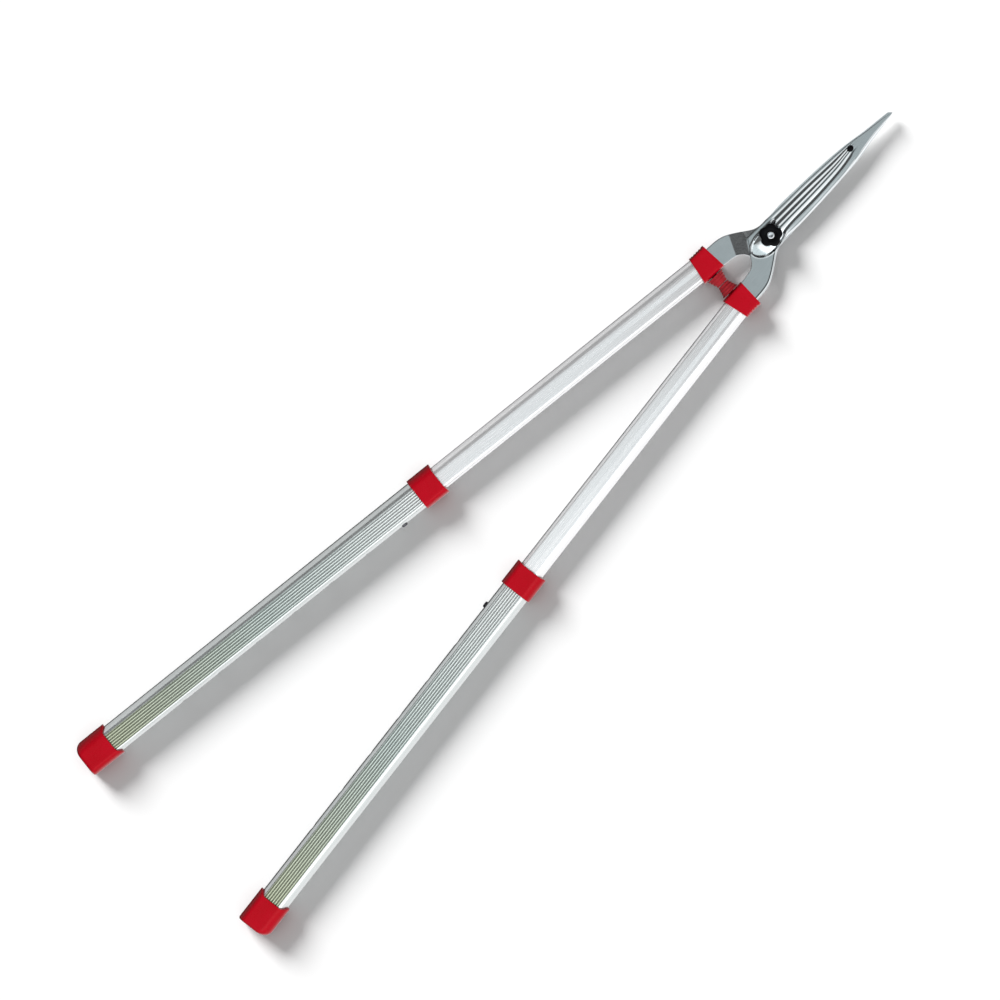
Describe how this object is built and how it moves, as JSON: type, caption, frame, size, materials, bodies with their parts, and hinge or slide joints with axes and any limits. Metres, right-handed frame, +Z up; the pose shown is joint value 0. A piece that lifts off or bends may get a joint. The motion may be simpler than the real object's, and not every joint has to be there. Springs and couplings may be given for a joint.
{
  "type": "telescopic hedge shears",
  "caption": "Long-handled hedge shears: straight blades cross on a bolt with a star knob, flat-oval handles telescope and lock with snap buttons.",
  "frame": {"origin": "bottom centre of the bounding box, shears lying flat, closed and fully extended", "axes": "+X to the blade tips, +Y to the handle of the lower blade, +Z up through the pivot bolt towards the star knob"},
  "size_m": [1.099, 0.2876, 0.027],
  "materials": {
    "blade_steel": "polished plate steel, ground edge",
    "pivot_steel": "bright zinc and chrome plated",
    "spring_steel": "spring steel",
    "brass": "turned brass",
    "outer_aluminium": "satin anodised, extruded grooves",
    "inner_aluminium": "satin anodised, nearly smooth",
    "red_plastic": "moulded red plastic, semi gloss",
    "red_rubber": "dark red rubber",
    "black_plastic": "gloss black moulding",
    "sleeve_plastic": "grey-black moulding, hidden"
  },
  "bodies": {
    "lower_half": {"lower_blade": "blade_steel", "lower_blade_plug": "black_plastic", "pivot_bolt": "pivot_steel", "pivot_bush": "brass", "flat_washer": "pivot_steel", "wave_washer": "spring_steel", "tang_sleeve_1": "sleeve_plastic", "tang_pin_1": "pivot_steel", "ferrule_1": "red_plastic", "bumper_1": "red_rubber", "inner_tube_1": "inner_aluminium", "guide_plug_1": "sleeve_plastic", "button_spring_1": "spring_steel"},
    "upper_half": {"upper_blade": "blade_steel", "upper_blade_plug": "black_plastic", "tang_sleeve_2": "sleeve_plastic", "tang_pin_2": "pivot_steel", "ferrule_2": "red_plastic", "bumper_2": "red_rubber", "inner_tube_2": "inner_aluminium", "guide_plug_2": "sleeve_plastic", "button_spring_2": "spring_steel"},
    "tension_knob": {"star_knob": "black_plastic", "knob_insert": "brass"},
    "grip_1": {"outer_tube_1": "outer_aluminium", "collar_1": "red_plastic", "end_cap_1": "red_plastic"},
    "grip_2": {"outer_tube_2": "outer_aluminium", "collar_2": "red_plastic", "end_cap_2": "red_plastic"},
    "button_1": {"snap_button_1": "pivot_steel"},
    "button_2": {"snap_button_2": "pivot_steel"}
  },
  "joints": [
    {"name": "blade_pivot", "type": "hinge", "parent": "lower_half", "child": "upper_half", "pos_m": [0.36503, 0, 0.0135], "axis": [0, 0, 1], "range_deg": [0, 65]},
    {"name": "handle_1_slide", "type": "slide", "parent": "lower_half", "child": "grip_1", "axis": [0.9932, -0.1163, 0], "range_m": [0, 0.3]},
    {"name": "handle_2_slide", "type": "slide", "parent": "upper_half", "child": "grip_2", "axis": [0.9932, 0.1163, 0], "range_m": [0, 0.3]},
    {"name": "button_1_press", "type": "slide", "parent": "lower_half", "child": "button_1", "axis": [0.1163, 0.9932, 0], "range_m": [0, 0.004], "stiffness_N_per_m": 900, "springref_m": -0.003, "deforming": ["button_spring_1"]},
    {"name": "button_2_press", "type": "slide", "parent": "upper_half", "child": "button_2", "axis": [0.1163, -0.9932, 0], "range_m": [0, 0.004], "stiffness_N_per_m": 900, "springref_m": -0.003, "deforming": ["button_spring_2"]},
    {"name": "knob_turn", "type": "hinge", "parent": "lower_half", "child": "tension_knob", "pos_m": [0.36503, 0, 0.0135], "axis": [0, 0, 1], "range_deg": [0, 360]}
  ]
}
